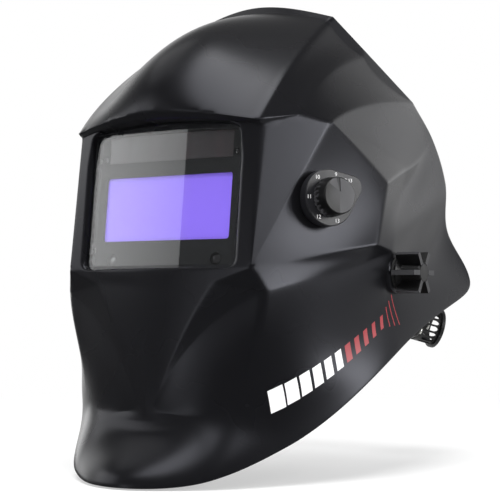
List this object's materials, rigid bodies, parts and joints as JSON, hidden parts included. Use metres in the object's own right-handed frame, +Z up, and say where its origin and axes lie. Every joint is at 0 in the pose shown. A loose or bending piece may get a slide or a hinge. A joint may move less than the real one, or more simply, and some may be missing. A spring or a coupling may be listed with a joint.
{
  "type": "welding helmet",
  "caption": "Auto-darkening welding helmet: moulded shell with leaning window, shade dial and adjustable ratchet headgear.",
  "frame": {"origin": "midpoint between the two side pivots about which the shell tilts", "axes": "+X to the wearer's left, +Y to the back of the head, +Z up; the window faces -Y"},
  "size_m": [0.2626, 0.3119, 0.3173],
  "materials": {
    "shell_black": "moulded gloss black nylon",
    "lens_clear": "clear polycarbonate",
    "filter_green": "dark green filter glass",
    "housing_black": "moulded matt black",
    "solar_cell": "solar cell",
    "sensor_dark": "tinted sensor dome",
    "board_green": "solder-masked board",
    "steel_plain": "zinc-plated steel",
    "brass_plain": "turned brass",
    "knob_grey": "moulded dark grey",
    "button_red": "moulded red",
    "dial_black": "moulded black with printed scale",
    "band_black": "moulded flexible nylon",
    "pad_black": "towelling sweatband",
    "friction_rubber": "friction washer"
  },
  "bodies": {
    "headgear": {"headband": "band_black", "sweatband": "pad_black", "crown_strap_left": "band_black", "crown_strap_right": "band_black", "crown_pegs": "band_black", "pivot_plate_left": "band_black", "pivot_plate_right": "band_black", "pivot_bolt_left": "steel_plain", "pivot_bolt_right": "steel_plain", "angle_stop_left": "band_black", "angle_stop_right": "band_black"},
    "shell": {"shell": "shell_black", "cover_lens": "lens_clear", "adf_front_housing": "housing_black", "adf_rear_housing": "housing_black", "filter_glass": "filter_green", "solar_panel": "solar_cell", "arc_sensors": "sensor_dark", "circuit_board": "board_green", "batteries": "steel_plain", "battery_trays": "housing_black", "inner_cover_lens": "lens_clear", "retaining_frame": "housing_black", "frame_screws": "steel_plain", "dial_plate": "dial_black", "potentiometer": "housing_black", "pot_nut": "steel_plain", "friction_washer_left": "friction_rubber", "friction_washer_right": "friction_rubber"},
    "shade_dial": {"shade_dial": "knob_grey", "dial_shaft": "steel_plain"},
    "sensitivity_knob": {"sensitivity_knob": "knob_grey"},
    "delay_knob": {"delay_knob": "knob_grey"},
    "test_button": {"test_button": "button_red"},
    "tension_knob_left": {"tension_knob_left": "knob_grey", "knob_insert_left": "brass_plain"},
    "tension_knob_right": {"tension_knob_right": "knob_grey", "knob_insert_right": "brass_plain"},
    "rear_cradle": {"rear_strap_left": "band_black", "rear_strap_right": "band_black", "ratchet_base": "band_black", "ratchet_cover": "band_black", "ratchet_screws": "steel_plain", "nape_pad": "pad_black"},
    "ratchet_knob": {"ratchet_knob": "knob_grey", "pinion": "band_black", "knob_screw": "steel_plain"}
  },
  "joints": [
    {"name": "shell_tilt", "type": "hinge", "parent": "headgear", "child": "shell", "pos_m": [0, 0, 0], "axis": [-1, 0, 0], "range_deg": [0, 66]},
    {"name": "shade_turn", "type": "hinge", "parent": "shell", "child": "shade_dial", "pos_m": [0.09933, -0.06722, 0.04557], "axis": [-0.8882, 0.4574, -0.044], "range_deg": [-120, 120]},
    {"name": "sensitivity_turn", "type": "hinge", "parent": "shell", "child": "sensitivity_knob", "pos_m": [-0.03, -0.09098, 0.00834], "axis": [0, 0.9938, -0.1115], "range_deg": [-135, 135]},
    {"name": "delay_turn", "type": "hinge", "parent": "shell", "child": "delay_knob", "pos_m": [0.03, -0.09098, 0.00834], "axis": [0, 0.9938, -0.1115], "range_deg": [-135, 135]},
    {"name": "test_press", "type": "slide", "parent": "shell", "child": "test_button", "axis": [0, -0.9938, 0.1115], "range_m": [0, 0.001], "stiffness_N_per_m": 600},
    {"name": "tension_turn_left", "type": "hinge", "parent": "headgear", "child": "tension_knob_left", "pos_m": [0.126, 0, 0], "axis": [1, 0, 0], "range_deg": [-180, 180]},
    {"name": "tension_turn_right", "type": "hinge", "parent": "headgear", "child": "tension_knob_right", "pos_m": [-0.126, 0, 0], "axis": [-1, 0, 0], "range_deg": [-180, 180]},
    {"name": "rear_slide", "type": "slide", "parent": "headgear", "child": "rear_cradle", "axis": [0, 0.9426, -0.3338], "range_m": [-0.012, 0.012]},
    {"name": "ratchet_turn", "type": "hinge", "parent": "rear_cradle", "child": "ratchet_knob", "pos_m": [0.05147, 0.12445, -0.03134], "axis": [0.6265, 0.7347, -0.2602], "range_deg": [-170, 170]}
  ],
  "couplings": [
    {"joint": "ratchet_turn", "follows": "rear_slide", "rad_per_m": 238.1}
  ]
}
